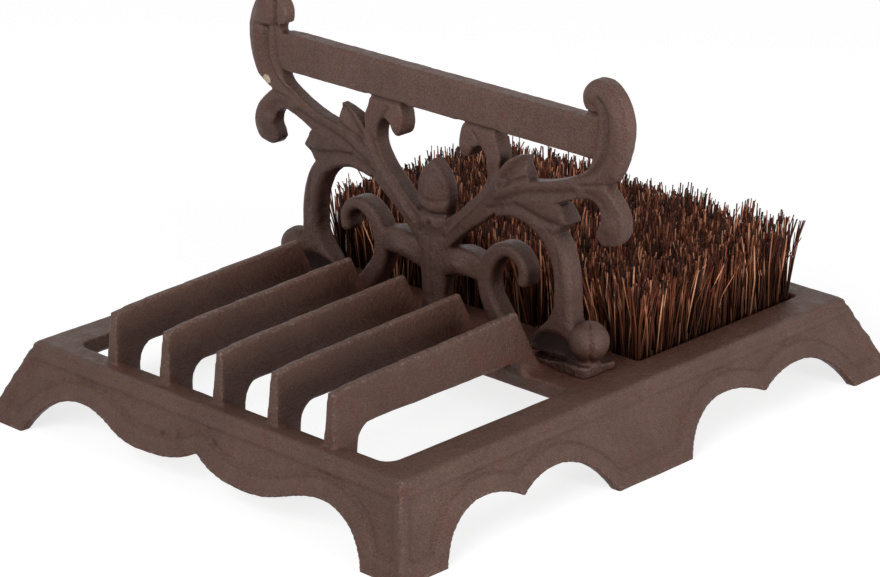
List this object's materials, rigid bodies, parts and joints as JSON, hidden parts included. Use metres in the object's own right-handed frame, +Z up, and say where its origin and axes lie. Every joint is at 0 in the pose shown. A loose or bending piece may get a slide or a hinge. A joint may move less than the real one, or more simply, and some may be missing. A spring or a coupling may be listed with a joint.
{
  "type": "boot scraper",
  "caption": "Cast iron boot scraper on splayed scalloped feet, with scraping blades in front, a scroll-work upright with a scraping bar, and a stiff brush behind.",
  "frame": {"origin": "on the ground, at the middle of the base's footprint", "axes": "+X to the right, +Y from the blades to the brush, +Z up"},
  "size_m": [0.248, 0.31, 0.1641],
  "materials": {
    "base_iron": "matt rust-brown coating over sand-cast iron",
    "upright_iron": "matt rust-brown coating over sand-cast iron",
    "fastener_steel": "zinc plated",
    "block_wood": "plain beech",
    "bristle_fibre": "stiff brown plant fibre"
  },
  "bodies": {
    "root": {"rim_frame": "base_iron", "front_apron": "base_iron", "rear_apron": "base_iron", "left_apron": "base_iron", "right_apron": "base_iron", "scraper_blade_1": "base_iron", "scraper_blade_2": "base_iron", "scraper_blade_3": "base_iron", "scraper_blade_4": "base_iron", "scraper_blade_5": "base_iron", "front_brush_strap": "base_iron", "rear_brush_strap": "base_iron", "top_bar": "upright_iron", "left_outer_scroll": "upright_iron", "right_outer_scroll": "upright_iron", "left_inner_scroll": "upright_iron", "right_inner_scroll": "upright_iron", "left_leg": "upright_iron", "right_leg": "upright_iron", "left_volute": "upright_iron", "right_volute": "upright_iron", "centre_bud": "upright_iron", "upright_bolts": "fastener_steel", "upright_washers": "fastener_steel", "brush_screws": "fastener_steel", "brush_block": "block_wood", "bristles": "bristle_fibre"}
  },
  "joints": []
}
